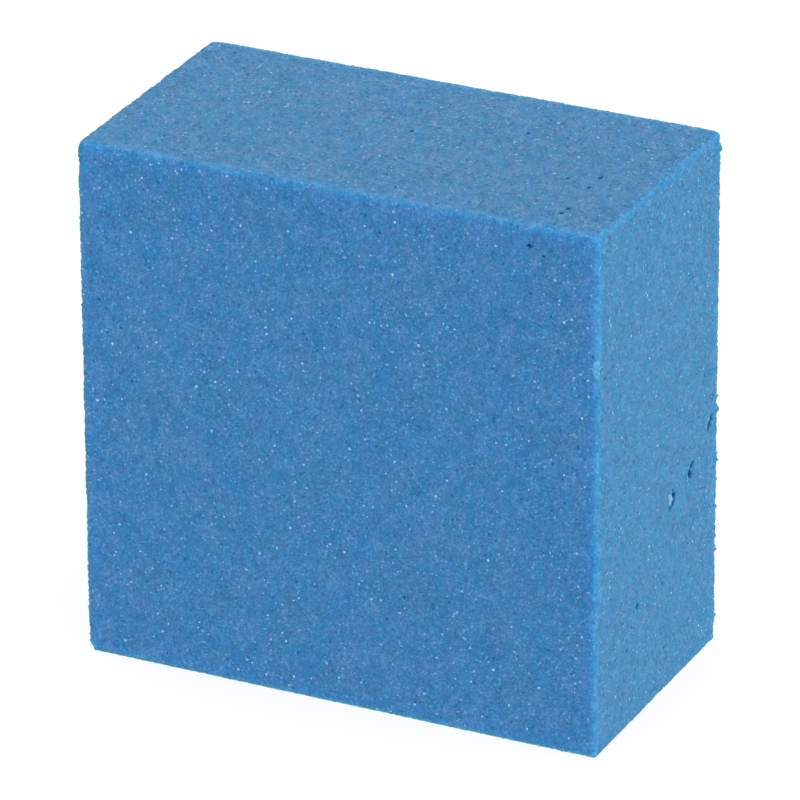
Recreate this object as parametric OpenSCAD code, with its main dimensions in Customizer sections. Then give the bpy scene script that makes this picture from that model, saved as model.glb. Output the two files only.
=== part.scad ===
// Detailing clay bar: a square-faced block of firm blue compound with abrasive grit set in it.
// It stands on its narrow bottom face, with one wide working face to the front (-Y).
// The origin is at the centre of the bottom face, +X to the right and +Z up.

/* [Block] */
// Width of the block, left to right
block_w = 50.3; // [46:0.1:54]
// Thickness of the block, front to back
block_d = 26.2; // [24:0.1:30]
// Height of the block as it stands
block_h = 50; // [46:0.5:54]

/* [Edges] */
// Radius of the rubbed top edge on the left side
rubbed_r = 0.4; // [0.2:0.1:1.5]
// Width of the bevel along the bottom edge on the left side
bevel_w = 0.5; // [0.2:0.1:1]
// Height of that bevel
bevel_h = 1; // [0.3:0.1:1.5]
// Width of the chip in the front right upright edge
chip_w = 0.5; // [0.2:0.1:0.8]
// Height of that chip
chip_h = 2.2; // [1:0.1:3]
// How far up the edge the chip sits, as a share of the height
chip_up = 0.755; // [0.3:0.005:0.9]

/* [Pores] */
// Scale of all the open air pores
pore_scale = 1; // [0.5:0.1:1.5]

/* [Grit] */
// Side of one coarse grain
grain_w = 0.32; // [0.2:0.02:0.5]
// Coarse grains shown in each wide face
grains_wide = 26; // [8:1:40]
// Coarse grains shown in each narrow face
grains_narrow = 14; // [4:1:20]

/* [Hidden] */
$fn = 24;

// Sizes of the faces, across and up
wide_face = [block_w, block_h];
side_face = [block_d, block_h];
top_face = [block_w, block_d];

// Open pores: place across and up as shares of the face, then radius in mm.
// Pores that lie close together are one pore with two lobes.
side_pores = [
    [0.945, 0.452, 0.4],
    [0.918, 0.436, 0.35],
    [0.793, 0.391, 0.55],
    [0.766, 0.382, 0.5],
    [0.605, 0.366, 0.6],
    [0.545, 0.216, 0.25],
    [0.335, 0.222, 0.3],
    [0.285, 0.191, 0.2],
    [0.25, 0.153, 0.2],
    [0.155, 0.157, 0.2],
];
top_pores = [
    [0.898, 0.142, 0.3],
    [0.899, 0.177, 0.22],
    [0.895, 0.365, 0.22],
    [0.895, 0.46, 0.25],
    [0.907, 0.042, 0.2],
];
front_pores = [
    [0.872, 0.964, 0.25],
    [0.898, 0.949, 0.2],
    [0.034, 0.703, 0.2],
    [0.079, 0.657, 0.2],
    [0.631, 0.239, 0.2],
];

// How far under the face a pore is centred, as a share of its radius
pore_sink = 0.25;
// How far under the face a grain is centred, as a share of its side
grain_sink = 0.2;
// Turn from one grain to the next about each axis
grain_turn = [47, 71, 29];

// Steps of an even two-way scatter: powers of the inverse plastic number
step_across = 0.7549;
step_up = 0.5698;
// Grains keep this share of the face clear round its rim
rim = 0.03;

// The chip's depth, straight in across the edge, and the radius of the ball that cuts it
chip_depth = chip_w / sqrt(2);
chip_r = (chip_h * chip_h / 4 + chip_depth * chip_depth) / (2 * chip_depth);

function part_of(x) = x - floor(x);
function inside_rim(share) = rim + share * (1 - 2 * rim);

// Places its children in the plane of a face: x across, y up and z out of the block
module on_front() {
    translate([-block_w / 2, -block_d / 2, 0]) rotate([90, 0, 0]) children();
}

module on_back() {
    translate([block_w / 2, block_d / 2, 0]) rotate([90, 0, 180]) children();
}

module on_right() {
    translate([block_w / 2, -block_d / 2, 0]) rotate([90, 0, 90]) children();
}

module on_left() {
    translate([-block_w / 2, block_d / 2, 0]) rotate([90, 0, -90]) children();
}

module on_top() {
    translate([-block_w / 2, -block_d / 2, block_h]) children();
}

// Outline seen from the front: sharp on the right, rubbed round and bevelled on the left
module front_outline() {
    union() {
        polygon([
            [bevel_w, 0],
            [block_w, 0],
            [block_w, block_h],
            [rubbed_r, block_h],
            [rubbed_r, block_h - rubbed_r],
            [0, block_h - rubbed_r],
            [0, bevel_h],
        ]);
        translate([rubbed_r, block_h - rubbed_r]) circle(r = rubbed_r);
    }
}

// The block's outer shape, with no pores or chip
module blank() {
    translate([-block_w / 2, block_d / 2, 0]) rotate([90, 0, 0]) linear_extrude(block_d) front_outline();
}

// Round pores of one face, each centred a little under the surface
module pores(places, face) {
    for (p = places)
        translate([p[0] * face[0], p[1] * face[1], -pore_sink * p[2]]) sphere(r = p[2] * pore_scale);
}

// The chip: a shallow scoop where a ball outside the block cuts the edge
module edge_chip() {
    translate([block_w / 2, -block_d / 2, chip_up * block_h])
        rotate([0, 0, -45])
            translate([chip_r - chip_depth, 0, 0]) sphere(r = chip_r);
}

// Angular grains scattered over one face, each half sunk in it
module grains(count, face) {
    for (i = [1:count])
        translate([
            inside_rim(part_of(i * step_across)) * face[0],
            inside_rim(part_of(i * step_up)) * face[1],
            -grain_sink * grain_w,
        ])
            rotate(i * grain_turn) cube(grain_w, center = true);
}

module all_grains() {
    on_front() grains(grains_wide, wide_face);
    on_back() grains(grains_wide, wide_face);
    on_right() grains(grains_narrow, side_face);
    on_left() grains(grains_narrow, side_face);
    on_top() grains(grains_narrow, top_face);
}

module clay_block() {
    color([0.26, 0.5, 0.71]) difference() {
        blank();
        on_front() pores(front_pores, wide_face);
        on_right() pores(side_pores, side_face);
        on_top() pores(top_pores, top_face);
        edge_chip();
        all_grains();
    }
}

// The grains are cut off level with the block's faces
module abrasive_grit() {
    color([0.8, 0.86, 0.9]) intersection() {
        blank();
        all_grains();
    }
}

clay_block();
abrasive_grit();
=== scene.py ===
import math

import bmesh
import bpy
import numpy as np
from mathutils import Matrix, Vector, noise


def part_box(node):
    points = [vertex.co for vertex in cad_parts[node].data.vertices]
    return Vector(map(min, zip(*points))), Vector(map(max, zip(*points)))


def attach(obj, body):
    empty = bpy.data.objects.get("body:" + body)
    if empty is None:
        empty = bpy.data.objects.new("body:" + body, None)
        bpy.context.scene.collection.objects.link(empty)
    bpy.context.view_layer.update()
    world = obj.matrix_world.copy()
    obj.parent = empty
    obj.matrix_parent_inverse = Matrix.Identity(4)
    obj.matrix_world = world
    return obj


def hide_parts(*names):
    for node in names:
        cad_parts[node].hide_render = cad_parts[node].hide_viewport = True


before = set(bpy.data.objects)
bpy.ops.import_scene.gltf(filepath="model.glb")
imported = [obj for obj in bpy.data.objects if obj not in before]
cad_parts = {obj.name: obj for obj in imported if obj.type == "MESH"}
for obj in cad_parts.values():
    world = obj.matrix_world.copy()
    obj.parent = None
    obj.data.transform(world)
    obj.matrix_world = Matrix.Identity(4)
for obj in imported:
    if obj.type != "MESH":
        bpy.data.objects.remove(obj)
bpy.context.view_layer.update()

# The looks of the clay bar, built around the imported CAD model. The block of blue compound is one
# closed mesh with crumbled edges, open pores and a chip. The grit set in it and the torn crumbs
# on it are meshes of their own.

MM = 0.001

# ------------------------------------------------------------------ sizes and places

low, high = (np.array(corner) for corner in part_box("clay_block"))
centre = (low + high) / 2
size = high - low

BASE_CELL = 0.8 * MM  # mesh cell in the middle of a face
EDGE_REACH = (1.5 * MM, 0.8 * MM, 0.35 * MM)  # the cells are halved within each of these of an edge
PORE_REACH = 0.05 * MM  # and once more within this of a pore
EDGE_RADIUS = 0.2 * MM  # how blunt a cut edge is
SWELL = 0.12 * MM  # how far the faces bulge past the nominal box
WAVE_HEIGHT, WAVE_LENGTH = 0.025 * MM, 7 * MM  # how uneven the faces are
RUBBED_RADIUS = 0.25 * MM  # the rubbed top edge on the left
BEVEL_WIDTH, BEVEL_HEIGHT = 0.65 * MM, 1.0 * MM  # the bottom edge on the left

# Worn corners: side (-1 left, 1 right), depth (-1 front, 1 back) and how far the wear goes in, in mm
WORN_CORNERS = [(-1, -1, 0.34), (-1, 1, 0.3), (1, 1, 0.3)]

# Scoops out of the upright edges: side, depth, share of the height, how deep and how tall, in mm
SCOOPS = [
    (1, -1, 0.755, 0.38, 2.2),
    (1, -1, 0.218, 0.1, 0.6),
    (1, 1, 0.984, 0.3, 0.7),
    (1, 1, 0.44, 0.12, 0.9),
    (1, 1, 0.37, 0.1, 0.7),
]

# Faces by their outward axis and its sign, with the axes that run across and up them
FACES = {
    "front": (1, -1, 0, 2),
    "back": (1, 1, 0, 2),
    "right": (0, 1, 1, 2),
    "left": (0, -1, 1, 2),
    "top": (2, 1, 0, 1),
    "bottom": (2, -1, 0, 1),
}

# Open pores: face, share across, share up, then half width, half height and depth in mm.
# Lobes that lie close run together into one ragged pore.
PORES = [
    ("right", 0.945, 0.454, 0.24, 0.36, 0.4),
    ("right", 0.928, 0.445, 0.3, 0.3, 0.4),
    ("right", 0.915, 0.436, 0.24, 0.26, 0.25),
    ("right", 0.787, 0.397, 0.34, 0.3, 0.35),
    ("right", 0.768, 0.386, 0.3, 0.34, 0.45),
    ("right", 0.777, 0.377, 0.28, 0.24, 0.3),
    ("right", 0.627, 0.377, 0.2, 0.34, 0.4),
    ("right", 0.641, 0.367, 0.2, 0.34, 0.45),
    ("right", 0.627, 0.357, 0.24, 0.24, 0.35),
    ("right", 0.603, 0.351, 0.26, 0.2, 0.3),
    ("right", 0.545, 0.216, 0.22, 0.2, 0.15),
    ("right", 0.335, 0.222, 0.25, 0.26, 0.25),
    ("right", 0.285, 0.191, 0.2, 0.2, 0.15),
    ("right", 0.25, 0.153, 0.24, 0.16, 0.2),
    ("right", 0.155, 0.157, 0.22, 0.14, 0.2),
    ("right", 0.56, 0.084, 0.2, 0.12, 0.15),
    ("right", 0.051, 0.727, 0.24, 0.14, 0.15),
    ("right", 0.095, 0.718, 0.2, 0.14, 0.12),
    ("top", 0.898, 0.142, 0.24, 0.3, 0.4),
    ("top", 0.901, 0.178, 0.2, 0.26, 0.35),
    ("top", 0.895, 0.365, 0.16, 0.26, 0.3),
    ("top", 0.895, 0.46, 0.2, 0.3, 0.3),
    ("top", 0.907, 0.042, 0.16, 0.22, 0.25),
    ("top", 0.846, 0.405, 0.16, 0.22, 0.2),
    ("top", 0.699, 0.702, 0.16, 0.26, 0.25),
    ("top", 0.51, 0.553, 0.16, 0.22, 0.2),
    ("front", 0.993, 0.777, 0.14, 0.1, 0.25),
    ("front", 0.872, 0.964, 0.22, 0.18, 0.3),
    ("front", 0.898, 0.949, 0.16, 0.14, 0.2),
    ("front", 0.588, 0.936, 0.14, 0.12, 0.15),
    ("front", 0.034, 0.703, 0.16, 0.14, 0.2),
    ("front", 0.079, 0.657, 0.14, 0.12, 0.2),
    ("front", 0.112, 0.624, 0.14, 0.12, 0.15),
    ("front", 0.097, 0.556, 0.14, 0.12, 0.2),
    ("front", 0.27, 0.672, 0.14, 0.12, 0.15),
    ("front", 0.631, 0.239, 0.16, 0.14, 0.2),
    ("front", 0.91, 0.194, 0.14, 0.12, 0.15),
    ("front", 0.683, 0.072, 0.14, 0.12, 0.15),
]
PORE_RIM = 0.06 * MM  # how much of each pore's shallow rim stays closed
PORE_GAIN = 1.5  # how much deeper its middle goes, to make up for that
RAGGEDNESS, RAGGED_GRAIN = 0.6, 0.25 * MM  # how uneven the torn places are, and how finely
PORE_SHADE_DEPTH, BURR_SHADE_HEIGHT = 0.3 * MM, 0.5 * MM  # the painted shade in a pore or on a burr is darkest from this far in or out

# Torn flakes: face, share across, share up, half sizes in mm, how far out the middle sits in mm,
# and how pale each one is, a painted highlight where it catches the light
FLAKES = [
    ("right", 0.603, 0.37, 0.42, 0.5, 0.1, -0.02, 1.0),
    ("right", 0.59, 0.376, 0.24, 0.34, 0.1, 0.0, 0.8),
    ("right", 0.8, 0.268, 0.26, 0.36, 0.1, -0.03, 0.7),
    ("right", 0.812, 0.275, 0.16, 0.2, 0.1, -0.02, 0.5),
    ("right", 0.924, 0.377, 0.3, 0.12, 0.1, -0.05, 0.5),
    ("front", 0.994, 0.768, 0.16, 0.12, 0.08, -0.1, 0.35),
    ("front", 0.991, 0.761, 0.22, 0.1, 0.06, -0.05, 0.35),
    ("front", 0.989, 0.7545, 0.34, 0.12, 0.06, -0.05, 0.5),
    ("front", 0.9925, 0.746, 0.22, 0.16, 0.08, -0.08, 0.6),
    ("front", 0.997, 0.737, 0.12, 0.28, 0.12, -0.14, 0.8),
    ("right", 0.024, 0.755, 0.34, 0.1, 0.08, -0.05, 0.7),
    ("right", 0.028, 0.744, 0.22, 0.22, 0.08, -0.04, 0.6),
    ("right", 0.992, 0.187, 0.12, 0.2, 0.1, 0.0, 1.0),
    ("front", 0.729, 0.228, 0.14, 0.14, 0.06, 0.0, 0.7),
]

# Burrs on the back right edge: height as a share, how far out, and how far each tapers off above
# and below, in mm
BURRS = [
    (0.966, 0.2, 0.9, 0.15),
    (0.487, 0.34, 0.1, 0.4),
    (0.458, 0.26, 1.0, 0.2),
    (0.374, 0.4, 0.15, 0.4),
    (0.366, 0.28, 0.3, 0.4),
    (0.359, 0.4, 0.4, 0.1),
    (0.324, 0.2, 0.1, 0.4),
    (0.264, 0.2, 0.4, 0.1),
    (0.244, 0.18, 0.1, 0.3),
    (0.206, 0.2, 0.3, 0.1),
    (0.178, 0.3, 0.6, 0.12),
    (0.048, 0.2, 0.1, 0.3),
]
BURR_REACH = 0.2 * MM

# Bites that have crumbled out of every edge, in three sizes: how wide and how deep
FINE_BITE, COARSE_BITE, BROAD_BITE = 0.3 * MM, 0.9 * MM, 2.5 * MM
FINE_DEPTH, COARSE_DEPTH, BROAD_DEPTH = 0.14 * MM, 0.2 * MM, 0.06 * MM
COARSE_GAP = 0.1  # coarse bites show only where their noise is above this
CRUMBLE_REACH = 0.22 * MM  # how far in from the edge they reach
CALM = 0.7  # how much less the lit edges have crumbled
BOTTOM_CALM = 0.7  # and how much less the bottom ones
TEETH = 0.17 * MM  # the fine teeth on the upright ones
BOTTOM_TEETH = 0.5  # and on the bottom ones, as a share of those
FINE_CRUMB_GAP = 0.9 * MM  # between the fine crumbs along every edge
FINE_CRUMB = 0.08 * MM  # half their usual size
FINE_CRUMB_SPREAD = (0.6, 1.6)  # the least and the most of that, as shares of it
LUMPINESS = 0.3  # how far the surface of a flake or crumb strays from a ball

# Grains of grit: how many to the square millimetre, and their least, usual and greatest width
PALE_GRIT = (0.9, 0.1 * MM, 0.18 * MM, 0.28 * MM)
FINE_GRIT = (1.9, 0.1 * MM, 0.2 * MM, 0.34 * MM)
GRIT_SPREAD = 0.35  # how widely the grains' sizes vary
GRIT_HEIGHT = 0.03 * MM  # how far the grains stand out of the faces
GRIT_SINK = 0.6  # how deep they go, as a share of their radius
CORNER_STRAY = 0.6  # how far round a grain its corners stray, as a share of the gap between them
CORNER_REACH = (0.7, 1.2)  # and how far out they lie, as shares of its radius
TIP_STRAY = 0.5  # how far its tip strays from its middle, as a share of its radius
LOWEST_TIP = 0.5  # the least that a tip stands out, as a share of the most

# The compound's grain, in three sizes that add up, and its shades from the darkest to the palest
FINE_GRAIN, MIDDLE_GRAIN, BROAD_GRAIN = 0.16 * MM, 0.33 * MM, 0.75 * MM
FINE_SHARE, MIDDLE_SHARE, BROAD_SHARE = 0.52, 0.32, 0.16
PRESSED_ALONG = Vector((0.4, -0.8, 0.4)).normalized()  # the grain runs this way through the block
GRAIN_LENGTH = 2.5  # and is this many times as long as it is wide
GRAIN_SHADES = [
    (0.2, (0.027, 0.153, 0.357)),
    (0.5, (0.048, 0.209, 0.449)),
    (0.77, (0.093, 0.3, 0.58)),
]
PALE_SPOT_CELL, DARK_SPOT_CELL = 0.36 * MM, 0.46 * MM
SPOT_CORE, SPOT_RIM = 0.1, 0.42  # where a spot starts to fade and where it ends, as shares of its cell
SPOT_RARITY = 3.0  # how much rarer the strong spots are than the faint ones
PALE_SPOT = (0.13, 0.38, 0.67, 1)
DARK_SPOT = (0.017, 0.118, 0.3, 1)
CLOUD = 1.4 * MM  # the broad patches that lean to purple and to green
CLOUD_HUES = [(0.3, (0.7, 0.96, 0.98)), (0.5, (1, 1, 1)), (0.7, (1.35, 1.04, 1.02))]
NOISE_SPAN = (0.3, 0.7)  # nearly all noise lies between these
PALE_GRIT_SHADES = [
    (0.0, (0.07, 0.28, 0.56)),
    (0.55, (0.12, 0.38, 0.68)),
    (0.85, (0.22, 0.51, 0.8)),
    (1.0, (0.39, 0.69, 0.93)),
]
FINE_GRIT_SHADES = [
    (0.0, (0.034, 0.168, 0.39)),
    (0.4, (0.05, 0.2, 0.45)),
    (0.8, (0.08, 0.26, 0.53)),
    (1.0, (0.115, 0.32, 0.6)),
]
GRIT_SIDE_LIGHT_TINT = (0.98, 1.15, 1.12, 1)  # painted light: the grains on all but the wide faces, lightened to look lit like the faces around them
TOP_SHEEN_TINT = (1.39, 1.075, 0.965, 1)  # painted sheen on the top, greyer and warmer
SIDE_LIGHT_TINT = (0.98, 1.04, 0.975, 1)  # painted light on the narrow sides
FACING = 0.7  # how squarely a surface faces up or sideways where those two tints begin
# painted highlight on the torn flakes that catch the light
FLAKE_HIGHLIGHT_COLOUR = (0.19, 0.48, 0.74, 1)
CHIP_COLOUR = (0.15, 0.49, 0.8, 1)
# painted shade for the pores and the burrs
PAINTED_SHADE_COLOUR = (0.012, 0.042, 0.17, 1)

# The pale glow along the front right, top front and top right edges, where lit faces meet
GLOW_COLOUR = (0.11, 0.35, 0.65, 1)
GLOW_REACH = 0.4 * MM
GLOW_LEANS = (0.1 * MM, 0.52 * MM, 0.15 * MM)  # how far in from each edge it is strongest
GLOW_STRENGTHS = (0.9, 1.0, 0.35)
ALL_LIT = (1, 1, 1)
GLOW_SHARE = (0.05, 0.32)  # the least and the most that the glow shows
CHIP_PALE = 0.1 * MM  # a chip is palest from this far in
CHIP_SHARE = 0.7  # and there its colour shows this much on average
TOP_SHEEN_EASED, TOP_SHEEN_REACH = 0.45, 0.7 * MM  # how much weaker the painted sheen on the top is near the lit edges

# Painted shade: greyish dark rims along the edges
EDGE_SHADE_TINT = (1.3, 0.68, 0.56, 1)
EDGE_SHADE_DULL = 0.4  # how much less light passes through them
EDGE_SHADE_REACH = 0.4 * MM
EDGE_SHADE_BELOW = 0.95  # how strong they are along the bottom
EDGE_SHADE_BEHIND = 0.55  # and along the top at the back
COMPOUND_ROUGHNESS = (0.45, 0.7)
VEIN, VEIN_DETAIL = 0.08 * MM, 2.0  # the dark veins inside each grain of grit
VEIN_DARK = 0.35
GRIT_ROUGHNESS_SPREAD = 0.1  # how much rougher or smoother a grain gets from place to place
SCATTER_RADIUS = (0.15, 3.0, 3.5)  # how far red, green and blue light spread in the compound
SCATTER_SCALE = 1.0 * MM

rng = np.random.default_rng(7)


# ------------------------------------------------------------------ small helpers


def link(name, data):
    ob = bpy.data.objects.new(name, data)
    bpy.context.scene.collection.objects.link(ob)
    return ob


def on_face(face, across, up):
    """The point of a face at these shares of its width and height."""
    _, sign, a, b = FACES[face]
    point = np.array(high if sign > 0 else low)
    point[a] = low[a] + across * size[a]
    point[b] = low[b] + up * size[b]
    return point


def coordinates(data):
    points = np.empty(len(data.vertices) * 3)
    data.vertices.foreach_get("co", points)
    return points.reshape(-1, 3)


def normals(data):
    found = np.empty(len(data.vertices) * 3)
    data.vertices.foreach_get("normal", found)
    return found.reshape(-1, 3)


def move_to(data, points):
    data.vertices.foreach_set("co", points.ravel())
    data.update()


def rough(points, grain, seed=0):
    """Smooth noise from -1 to 1 at each point, with bumps about one grain across."""
    shift = Vector((31.7 * seed, 17.3 * seed, 5.1 * seed))
    return np.array([noise.noise(Vector(p / grain) + shift) for p in points])


# ------------------------------------------------------------------ the block


def rim_distance(points):
    """How far each point of the plain box lies from the nearest edge of its face."""
    inward = np.sort(np.minimum(points - low, high - points), axis=1)
    return inward[:, 1]


def pore_distance(points):
    """How far each point lies outside the nearest pore."""
    found = np.full(len(points), 1.0)
    for face, across, up, wide, tall, _ in PORES:
        reach = np.linalg.norm(points - on_face(face, across, up), axis=1)
        found = np.minimum(found, reach - max(wide, tall) * MM)
    return found


def halve_cells(mesh, chosen):
    """Splits the cells whose middles the chosen rule picks."""
    mesh.edges.index_update()
    middles = np.array([face.calc_center_median() for face in mesh.faces])
    picked = [face for face, wanted in zip(mesh.faces, chosen(middles)) if wanted]
    edges = sorted({edge for face in picked for edge in face.edges}, key=lambda edge: edge.index)
    bmesh.ops.subdivide_edges(mesh, edges=edges, cuts=1, use_grid_fill=True)


def plain_box():
    """A box the size of the block, in cells that shrink towards its edges and pores."""
    mesh = bmesh.new()
    bmesh.ops.create_cube(mesh, size=1.0)
    for vert in mesh.verts:
        vert.co = Vector(centre + size * np.array(vert.co))
    for axis in range(3):
        along = [e for e in mesh.edges if abs((e.verts[0].co - e.verts[1].co)[axis]) > 1e-9]
        cuts = round(size[axis] / BASE_CELL) - 1
        bmesh.ops.subdivide_edges(mesh, edges=along, cuts=cuts, use_grid_fill=True)
    for reach in EDGE_REACH:
        halve_cells(mesh, lambda p: np.minimum(rim_distance(p), pore_distance(p)) < reach)
    halve_cells(mesh, lambda p: pore_distance(p) < PORE_REACH)
    data = bpy.data.meshes.new("clay_body")
    mesh.to_mesh(data)
    mesh.free()
    return data


def blunted(points):
    """Rounds every edge a little."""
    core = np.clip(points, low + EDGE_RADIUS, high - EDGE_RADIUS)
    away = points - core
    return core + EDGE_RADIUS * away / np.linalg.norm(away, axis=1, keepdims=True)


def rubbed(points):
    """Rounds the top edge on the left."""
    points = points.copy()
    axis = np.array([low[0] + RUBBED_RADIUS, high[2] - RUBBED_RADIUS])
    away = points[:, [0, 2]] - axis
    reach = np.linalg.norm(away, axis=1)
    outside = (away[:, 0] < 0) & (away[:, 1] > 0) & (reach > RUBBED_RADIUS)
    scale = np.where(outside, RUBBED_RADIUS / np.maximum(reach, 1e-9), 1.0)
    points[:, [0, 2]] = axis + away * scale[:, None]
    return points


def bevelled(points):
    """Flattens the bottom edge on the left."""
    points = points.copy()
    steep = np.array([1 / BEVEL_WIDTH, 1 / BEVEL_HEIGHT])
    over = 1 - (points[:, [0, 2]] - low[[0, 2]]) @ steep
    points[:, [0, 2]] += np.maximum(over, 0)[:, None] * steep / (steep @ steep)
    return points


def worn(points):
    """Wears the corners of the top round."""
    for side, depth, wear in WORN_CORNERS:
        corner = centre + size / 2 * (side, depth, 1)
        inward = -np.array([side, depth, 1]) / math.sqrt(3)
        reach = np.maximum((points - corner) @ inward, 0)
        moved = np.cbrt(reach**3 + (wear * MM) ** 3) - reach
        points = points + moved[:, None] * inward
    return points


def scooped(points):
    """Takes each scoop out of its edge, with a ball that lies outside the block."""
    for side, depth, up, deep, tall in SCOOPS:
        outward = np.array([side, depth, 0]) / math.sqrt(2)
        edge = centre + size * (side / 2, depth / 2, up - 0.5)
        radius = (tall**2 / 4 + deep**2) / (2 * deep) * MM
        middle = edge + outward * (radius - deep * MM)
        away = points - middle
        reach = np.linalg.norm(away, axis=1, keepdims=True)
        points = np.where(reach < radius, middle + away / reach * radius, points)
    return points


def pore_depth(points):
    """How deep the pores go at each point of the plain box."""
    depth = np.zeros(len(points))
    for face, across, up, wide, tall, deep in PORES:
        out, _, a, b = FACES[face]
        place = on_face(face, across, up)
        on_it = np.abs(points[:, out] - place[out]) < 1e-6
        spread = np.hypot((points[:, a] - place[a]) / wide, (points[:, b] - place[b]) / tall) / MM
        depth += np.where(on_it, deep * MM * np.exp(-(spread**2)), 0)
    ragged = 1 + RAGGEDNESS * rough(points, RAGGED_GRAIN, seed=3)
    return np.maximum(PORE_GAIN * depth * ragged - PORE_RIM, 0)


def near_lit_edges(points, strengths, reach):
    """How near each point is to the edges where lit faces meet, from 0 to each edge's strength."""
    to_front, to_right, to_top = points[:, 1] - low[1], high[0] - points[:, 0], high[2] - points[:, 2]
    edges = [(to_front, to_right), (to_front, to_top), (to_top, to_right)]
    found = np.zeros(len(points))
    for (one, other), lean, strength in zip(edges, GLOW_LEANS, strengths):
        away = np.hypot(one - lean, other)
        found = np.maximum(found, strength * np.exp(-((away / reach) ** 2)))
    return found


def fresh_chip(points):
    """Where the scoops in the front right edge have laid the paler inside bare, in ragged patches."""
    whole = blunted(points)
    moved = np.linalg.norm(scooped(whole) - whole, axis=1)
    bare = np.where(points[:, 1] < centre[1], np.clip(moved / CHIP_PALE, 0, 1), 0)
    return bare * (CHIP_SHARE + rough(points, RAGGED_GRAIN, seed=5))


def crumble(points):
    """How much of each edge has crumbled away: less where lit faces meet or at the bottom."""
    at_edge = np.exp(-((rim_distance(points) / CRUMBLE_REACH) ** 2))
    to_side = np.minimum(points - low, high - points)
    upright = np.exp(-((np.hypot(to_side[:, 0], to_side[:, 1]) / CRUMBLE_REACH) ** 2))
    below = np.exp(-(((points[:, 2] - low[2]) / CRUMBLE_REACH) ** 2))
    fine = rough(points, FINE_BITE, seed=1)
    coarse = np.clip(rough(points, COARSE_BITE, seed=2) - COARSE_GAP, 0, 1)
    broad = rough(points, BROAD_BITE, seed=6)
    loss = at_edge * (FINE_DEPTH * np.abs(fine) + COARSE_DEPTH * coarse + BROAD_DEPTH * broad)
    loss *= 1 - BOTTOM_CALM * below
    loss += np.maximum(upright, BOTTOM_TEETH * at_edge * below) * TEETH * fine
    return loss * (1 - CALM * near_lit_edges(points, ALL_LIT, GLOW_REACH))


def burr(points):
    """How far the burrs on the back right edge stand out."""
    away = np.hypot(points[:, 0] - high[0], points[:, 1] - high[1])
    found = np.zeros(len(points))
    for up, out, above, below in BURRS:
        along = (points[:, 2] - low[2] - up * size[2]) / MM
        taper = np.where(along > 0, 1 - along / above, 1 + along / below)
        found = np.maximum(found, out * MM * np.clip(taper, 0, 1))
    return found * np.exp(-((away / BURR_REACH) ** 2))


def shaped(points):
    """The smooth shape of the block: where each point of the plain box goes."""
    return worn(scooped(bevelled(rubbed(blunted(points)))))


def relief(points):
    """How far the surface lies outside its smooth shape at each point of the plain box."""
    wave = WAVE_HEIGHT * rough(points, WAVE_LENGTH, seed=4)
    return SWELL + wave + burr(points) - crumble(points) - pore_depth(points)


def edge_shade(points):
    """How strong the painted shade is along the edges: all but the lit ones and the back left one."""
    to_left, to_front, to_bottom = (points - low).T
    to_right, to_back, to_top = (high - points).T
    to_side = np.minimum(to_left, to_right)
    at_right = np.hypot(to_back, to_right)
    at_left = np.hypot(to_left, np.minimum(to_front, to_top))
    behind = np.hypot(to_back, to_top)
    below = np.hypot(to_bottom, np.minimum(to_side, np.minimum(to_front, to_back)))
    marks = np.exp(-((np.minimum(at_right, at_left) / EDGE_SHADE_REACH) ** 2))
    for away, strength in ((behind, EDGE_SHADE_BEHIND), (below, EDGE_SHADE_BELOW)):
        marks = np.maximum(marks, strength * np.exp(-((away / EDGE_SHADE_REACH) ** 2)))
    return marks


def give(data, name, values):
    """Stores one number for each point of a mesh, for its material to read."""
    data.attributes.new(name, "FLOAT", "POINT").data.foreach_set("value", values)


def block():
    data = plain_box()
    flat = coordinates(data)
    move_to(data, shaped(flat))
    outward = normals(data)
    surface = coordinates(data) + outward * relief(flat)[:, None]
    surface[:, 2] = np.maximum(surface[:, 2], low[2] + GRIT_HEIGHT / 3)
    move_to(data, surface)
    # painted shade in the pores and on the burrs
    give(data, "painted_shade", np.clip(pore_depth(flat) / PORE_SHADE_DEPTH + burr(flat) / BURR_SHADE_HEIGHT, 0, 1))
    give(data, "glow", near_lit_edges(flat, GLOW_STRENGTHS, GLOW_REACH))
    give(data, "torn", fresh_chip(flat))
    # painted shade along the edges, all but the lit ones
    give(data, "edge_shade", edge_shade(flat))
    # painted sheen on the top, weaker near the lit edges
    top_sheen_share = 1 - TOP_SHEEN_EASED * near_lit_edges(flat, ALL_LIT, TOP_SHEEN_REACH)
    give(data, "top_sheen", np.where(outward[:, 2] > FACING, top_sheen_share, 0))
    # painted light on the narrow sides
    give(data, "side_light", (np.abs(outward[:, 0]) > FACING).astype(float))
    data.shade_smooth()
    return link("clay_body", data)


# ------------------------------------------------------------------ grit


def scattered(density):
    """Random places over all the faces, with the ways across, up and out of the face at each."""
    places, ways = [], []
    for out, sign, a, b in FACES.values():
        count = round(density * size[a] * size[b] / MM**2)
        place = np.tile(high if sign > 0 else low, (count, 1))
        for axis in (a, b):
            place[:, axis] = rng.uniform(low[axis], high[axis], count)
        up, outward = np.eye(3)[b], sign * np.eye(3)[out]
        places.append(place)
        ways.append(np.tile([np.cross(up, outward), up, outward], (count, 1, 1)))
    return np.concatenate(places), np.concatenate(ways)


def grains(name, points, faces):
    """One mesh of many grains, which share the same faces between their own points."""
    points = points.copy()
    points[..., 2] = np.maximum(points[..., 2], low[2])
    first = np.arange(len(points))[:, None, None] * points.shape[1]
    data = bpy.data.meshes.new(name)
    data.from_pydata(points.reshape(-1, 3).tolist(), [], (first + faces).reshape(-1, 3).tolist())
    return link(name, data)


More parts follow.
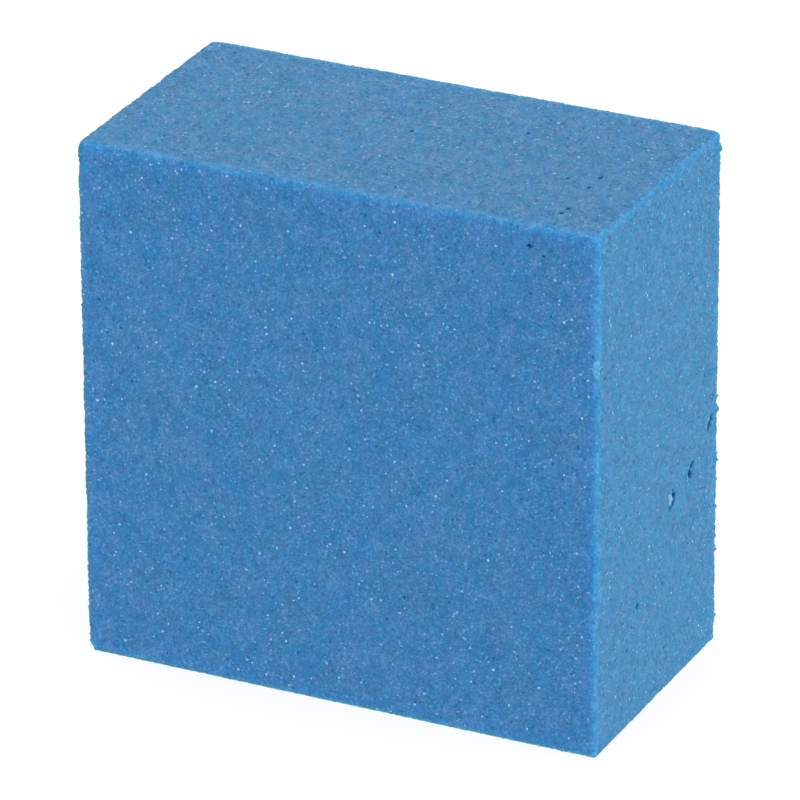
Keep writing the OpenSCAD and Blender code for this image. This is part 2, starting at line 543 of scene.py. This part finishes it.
def grit(name, sides, density, smallest, typical, largest):
    """Angular grains set in every face, each a low pyramid above the face and one below it."""
    flat, ways = scattered(density)
    count = len(flat)
    middle = shaped(flat) + ways[:, 2] * relief(flat)[:, None]
    radius = np.clip(typical * rng.lognormal(0, GRIT_SPREAD, count), smallest, largest) / 2
    turn = (np.arange(sides) + rng.uniform(0, CORNER_STRAY, (count, sides))) * 2 * math.pi / sides
    turn += rng.uniform(0, 2 * math.pi, (count, 1))
    reach = radius[:, None] * rng.uniform(*CORNER_REACH, (count, sides))
    local = np.zeros((count, sides + 2, 3))
    shoulder = np.full_like(turn, GRIT_HEIGHT / 3)
    local[:, :sides] = np.stack([reach * np.cos(turn), reach * np.sin(turn), shoulder], 2)
    local[:, sides, :2] = radius[:, None] * rng.uniform(-TIP_STRAY, TIP_STRAY, (count, 2))
    local[:, sides, 2] = GRIT_HEIGHT * rng.uniform(LOWEST_TIP, 1, count)
    local[:, sides + 1, 2] = -GRIT_SINK * radius
    this, following = np.arange(sides), np.roll(np.arange(sides), -1)
    above = np.stack([this, following, np.full(sides, sides)], 1)
    below = np.stack([following, this, np.full(sides, sides + 1)], 1)
    points = middle[:, None] + np.einsum("nkj,nji->nki", local, ways)
    ob = grains(name, points, np.vstack([above, below]))
    # painted light on the grains of all but the front and back faces
    give(ob.data, "grit_side_light", np.repeat(ways[:, 2, 1] == 0, sides + 2).astype(float))
    return ob


def round_ball():
    """The points and faces of a unit ball made of triangles."""
    mesh = bmesh.new()
    bmesh.ops.create_icosphere(mesh, subdivisions=2, radius=1.0)
    points = np.array([v.co for v in mesh.verts])
    faces = np.array([[v.index for v in f.verts] for f in mesh.faces])
    mesh.free()
    return points, faces


def crumbs():
    """The torn flakes, and fine crumbs along every edge."""
    places, sizes, light = [], [], []
    for face, across, up, wide, tall, thick, proud, shine in FLAKES:
        out, sign, a, b = FACES[face]
        place = on_face(face, across, up)
        place[out] += sign * (SWELL + proud * MM)
        half = np.empty(3)
        half[[a, b, out]] = np.array([wide, tall, thick]) * MM
        places.append(place)
        sizes.append(half)
        light.append(shine)
    for axis in range(3):
        one, other = (a for a in range(3) if a != axis)
        for first in (low[one], high[one]):
            for second in (low[other], high[other]):
                count = round(size[axis] / FINE_CRUMB_GAP)
                edge = np.empty((count, 3))
                edge[:, axis] = rng.uniform(low[axis], high[axis], count)
                edge[:, one], edge[:, other] = first, second
                places.extend(shaped(edge))
                sizes.extend(FINE_CRUMB * rng.uniform(*FINE_CRUMB_SPREAD, (count, 3)))
                light.extend(np.zeros(count))
    ball, faces = round_ball()
    shape = ball * rng.uniform(1 - LUMPINESS, 1 + LUMPINESS, (len(places), len(ball), 1))
    ob = grains("clay_crumbs", np.array(places)[:, None] + shape * np.array(sizes)[:, None], faces)
    # how strong the painted highlight on each flake is
    give(ob.data, "glow", np.repeat(light, len(ball)))
    return ob


# ------------------------------------------------------------------ materials


class Tree:
    """A short way to add and join a material's nodes."""

    def __init__(self, name):
        self.material = bpy.data.materials.new(name)
        self.material.use_nodes = True
        self.nodes = self.material.node_tree.nodes
        self.links = self.material.node_tree.links
        self.shader = self.nodes["Principled BSDF"]

    def add(self, kind, settings=None, **inputs):
        node = self.nodes.new("ShaderNode" + kind)
        for key, value in (settings or {}).items():
            setattr(node, key, value)
        for key, value in inputs.items():
            self.feed(node.inputs[key.replace("_", " ")], value)
        return node

    def feed(self, socket, value):
        if isinstance(value, bpy.types.NodeSocket):
            self.links.new(value, socket)
        else:
            socket.default_value = value

    def maths(self, operation, *values, clamp=False):
        node = self.nodes.new("ShaderNodeMath")
        node.operation = operation
        node.use_clamp = clamp
        for socket, value in zip(node.inputs, values):
            self.feed(socket, value)
        return node.outputs[0]

    def vector(self, operation, *values, scale=None, output=0):
        node = self.nodes.new("ShaderNodeVectorMath")
        node.operation = operation
        for socket, value in zip(node.inputs, values):
            self.feed(socket, value)
        if scale is not None:
            self.feed(node.inputs["Scale"], scale)
        return node.outputs[output]

    def between(self, value, start, end, to_start=0.0, to_end=1.0, smooth=True):
        node = self.nodes.new("ShaderNodeMapRange")
        node.interpolation_type = "SMOOTHSTEP" if smooth else "LINEAR"
        for socket, given in zip(node.inputs[:5], (value, start, end, to_start, to_end)):
            self.feed(socket, given)
        return node.outputs[0]

    def mix(self, factor, a, b, blend="MIX"):
        node = self.nodes.new("ShaderNodeMix")
        node.data_type = "RGBA"
        node.blend_type = blend
        self.feed(node.inputs[0], factor)
        self.feed(node.inputs[6], a)
        self.feed(node.inputs[7], b)
        return node.outputs[2]


def ramp(tree, value, stops):
    """A colour for each value, blended between stops of (value, colour)."""
    node = tree.nodes.new("ShaderNodeValToRGB")
    tree.feed(node.inputs[0], value)
    marks = node.color_ramp.elements
    while len(marks) < len(stops):
        marks.new(0.5)
    for mark, (place, colour) in zip(marks, stops):
        mark.position = place
        mark.color = (*colour, 1)
    return node.outputs[0]


def noise_of(tree, where, grain, detail=0.0):
    return tree.add("TexNoise", Vector=where, Scale=1 / grain, Detail=detail).outputs[0]


def stored(tree, name):
    """The number that the mesh stores under this name, or 0 if it stores none."""
    return tree.add("Attribute", {"attribute_name": name}).outputs["Fac"]


def spots(tree, where, cell, channel):
    """Round spots, one to a cell of the pattern, most of them faint."""
    pattern = tree.add("TexVoronoi", Vector=where, Scale=1 / cell)
    strength = tree.add("SeparateColor", Color=pattern.outputs["Color"]).outputs[channel]
    shape = tree.between(pattern.outputs["Distance"], SPOT_CORE, SPOT_RIM, 1.0, 0.0)
    return tree.maths("MULTIPLY", shape, tree.maths("POWER", strength, SPOT_RARITY))


def compound(name, scatter, pale_colour, pale_share):
    """The blue compound: fine grains of many shades bonded together, with painted shade in its pores.

    Where the mesh stores a glow it turns towards the pale colour, by pale_share's least to its most.
    """
    tree = Tree(name)
    place = tree.add("TexCoord").outputs["Object"]
    along = tree.vector("DOT_PRODUCT", place, PRESSED_ALONG, output=1)
    drawn = tree.vector("SCALE", PRESSED_ALONG, scale=tree.maths("MULTIPLY", along, 1 - 1 / GRAIN_LENGTH))
    where = tree.vector("SUBTRACT", place, drawn)
    fine = noise_of(tree, where, FINE_GRAIN)
    shade = tree.maths("MULTIPLY", fine, FINE_SHARE)
    shade = tree.maths("MULTIPLY_ADD", noise_of(tree, where, MIDDLE_GRAIN), MIDDLE_SHARE, shade)
    shade = tree.maths("MULTIPLY_ADD", noise_of(tree, where, BROAD_GRAIN), BROAD_SHARE, shade)
    colour = ramp(tree, shade, GRAIN_SHADES)

    pale = spots(tree, where, PALE_SPOT_CELL, 0)
    colour = tree.mix(pale, colour, PALE_SPOT)
    dark = spots(tree, where, DARK_SPOT_CELL, 1)
    colour = tree.mix(dark, colour, DARK_SPOT)

    cloud = noise_of(tree, place, CLOUD, detail=2.0)
    colour = tree.mix(1.0, colour, ramp(tree, cloud, CLOUD_HUES), "MULTIPLY")

    # painted sheen on the top, painted light on the narrow sides and painted shade along the edges
    for mark, tint in (("top_sheen", TOP_SHEEN_TINT), ("side_light", SIDE_LIGHT_TINT), ("edge_shade", EDGE_SHADE_TINT)):
        colour = tree.mix(stored(tree, mark), colour, tree.mix(1.0, colour, tint, "MULTIPLY"))
    lit = tree.maths("MULTIPLY", stored(tree, "glow"), tree.between(cloud, *NOISE_SPAN, *pale_share))
    colour = tree.mix(lit, colour, pale_colour)
    colour = tree.mix(stored(tree, "torn"), colour, CHIP_COLOUR)
    # painted shade in the pores and on the burrs
    colour = tree.mix(stored(tree, "painted_shade"), colour, PAINTED_SHADE_COLOUR)
    tree.feed(tree.shader.inputs["Base Color"], colour)

    tree.feed(tree.shader.inputs["Roughness"], tree.between(fine, *NOISE_SPAN, *COMPOUND_ROUGHNESS))
    tree.feed(tree.shader.inputs["Specular IOR Level"], 0.06)
    dull = scatter * (1 - EDGE_SHADE_DULL)
    weight = tree.between(stored(tree, "edge_shade"), 0.0, 1.0, scatter, dull, smooth=False)
    tree.feed(tree.shader.inputs["Subsurface Weight"], weight)
    tree.feed(tree.shader.inputs["Subsurface Radius"], SCATTER_RADIUS)
    tree.feed(tree.shader.inputs["Subsurface Scale"], SCATTER_SCALE)
    height = tree.maths("ADD", shade, tree.maths("SUBTRACT", pale, dark))
    bump = tree.add("Bump", Strength=0.5, Distance=0.03 * MM, Height=height)
    tree.feed(tree.shader.inputs["Normal"], bump.outputs[0])
    return tree.material


def mineral(name, shades, roughness):
    """Grit whose grains each have their own shade."""
    tree = Tree(name)
    own = tree.add("NewGeometry").outputs["Random Per Island"]
    place = tree.add("TexCoord").outputs["Object"]
    vein = noise_of(tree, place, VEIN, VEIN_DETAIL)
    colour = ramp(tree, own, shades)
    # painted light on the grains of all but the front and back faces
    colour = tree.mix(stored(tree, "grit_side_light"), colour, tree.mix(1.0, colour, GRIT_SIDE_LIGHT_TINT, "MULTIPLY"))
    veined = tree.mix(vein, colour, tree.mix(VEIN_DARK, colour, (0, 0, 0, 1)))
    tree.feed(tree.shader.inputs["Base Color"], veined)
    smoothest, roughest = roughness - GRIT_ROUGHNESS_SPREAD, roughness + GRIT_ROUGHNESS_SPREAD
    uneven = tree.between(vein, *NOISE_SPAN, smoothest, roughest)
    tree.feed(tree.shader.inputs["Roughness"], uneven)
    tree.feed(tree.shader.inputs["Specular IOR Level"], 0.1)
    bump = tree.add("Bump", Strength=0.3, Distance=0.01 * MM, Height=vein)
    tree.feed(tree.shader.inputs["Normal"], bump.outputs[0])
    return tree.material


# ------------------------------------------------------------------ the pieces

clay_body = block()
clay_body.data.materials.append(compound("compound", 1.0, GLOW_COLOUR, GLOW_SHARE))
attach(clay_body, "root")
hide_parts("clay_block")

clay_crumbs = crumbs()
# the flakes get a painted highlight where they catch the light
clay_crumbs.data.materials.append(compound("compound_crumbs", 0.2, FLAKE_HIGHLIGHT_COLOUR, (0.9, 1.0)))
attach(clay_crumbs, "root")

pale_grit = grit("pale_grit", 6, *PALE_GRIT)
pale_grit.data.materials.append(mineral("pale_grit", PALE_GRIT_SHADES, 0.4))
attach(pale_grit, "root")
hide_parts("abrasive_grit")

fine_grit = grit("fine_grit", 5, *FINE_GRIT)
fine_grit.data.materials.append(mineral("fine_grit", FINE_GRIT_SHADES, 0.55))
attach(fine_grit, "root")

# ------------------------------------------------------------------ studio

FLOOR_HALF = 3.0
LIGHT_FROM = Vector((0.7, -0.7, 0.05)).normalized()
BRIGHT_SIDE, DIM_SIDE = 1.42, 0.68


def floor():
    data = bpy.data.meshes.new("floor")
    corners = [(-1, -1), (1, -1), (1, 1), (-1, 1)]
    data.from_pydata([(x * FLOOR_HALF, y * FLOOR_HALF, 0) for x, y in corners], [], [(0, 1, 2, 3)])
    tree = Tree("floor")
    tree.feed(tree.shader.inputs["Base Color"], (0.27, 0.27, 0.27, 1))
    tree.feed(tree.shader.inputs["Roughness"], 0.9)
    tree.feed(tree.shader.inputs["Specular IOR Level"], 0.0)
    tree.feed(tree.shader.inputs["Emission Color"], (1, 1, 1, 1))
    tree.feed(tree.shader.inputs["Emission Strength"], 0.78)
    data.materials.append(tree.material)
    link("floor", data)


def studio_light():
    """A white surround, brighter on the side that the camera stands on."""
    world = bpy.data.worlds.new("studio")
    bpy.context.scene.world = world
    world.use_nodes = True
    nodes, links = world.node_tree.nodes, world.node_tree.links
    way = nodes.new("ShaderNodeTexCoord")
    facing = nodes.new("ShaderNodeVectorMath")
    facing.operation = "DOT_PRODUCT"
    facing.inputs[1].default_value = LIGHT_FROM
    strength = nodes.new("ShaderNodeMapRange")
    strength.inputs["From Min"].default_value = -1
    strength.inputs["To Min"].default_value = DIM_SIDE
    strength.inputs["To Max"].default_value = BRIGHT_SIDE
    links.new(way.outputs["Generated"], facing.inputs[0])
    links.new(facing.outputs["Value"], strength.inputs["Value"])
    links.new(strength.outputs[0], nodes["Background"].inputs["Strength"])
    nodes["Background"].inputs["Color"].default_value = (1, 1, 1, 1)
    bpy.context.scene.view_settings.view_transform = "Standard"


# The camera looks down a long lens from the front right
AZIMUTH, ELEVATION, ROLL = (math.radians(angle) for angle in (25.79, 24.86, -0.28))
LENS, SENSOR = 335.8, 36.0
DISTANCE = 13.387 * size[2]
TARGET = Vector((-0.0017, -0.0005, 0.488)) * size[2]


def camera():
    flat = math.cos(ELEVATION)
    back = Vector((math.sin(AZIMUTH) * flat, -math.cos(AZIMUTH) * flat, math.sin(ELEVATION)))
    level = Vector((0, 0, 1)).cross(back).normalized()
    upright = back.cross(level)
    across = level * math.cos(ROLL) + upright * math.sin(ROLL)
    up = upright * math.cos(ROLL) - level * math.sin(ROLL)
    data = bpy.data.cameras.new("camera")
    data.lens = LENS
    data.sensor_width = SENSOR
    ob = link("camera", data)
    turn = Matrix((across, up, back)).transposed().to_4x4()
    ob.matrix_world = Matrix.Translation(TARGET + back * DISTANCE) @ turn
    bpy.context.scene.camera = ob


floor()
studio_light()
camera()
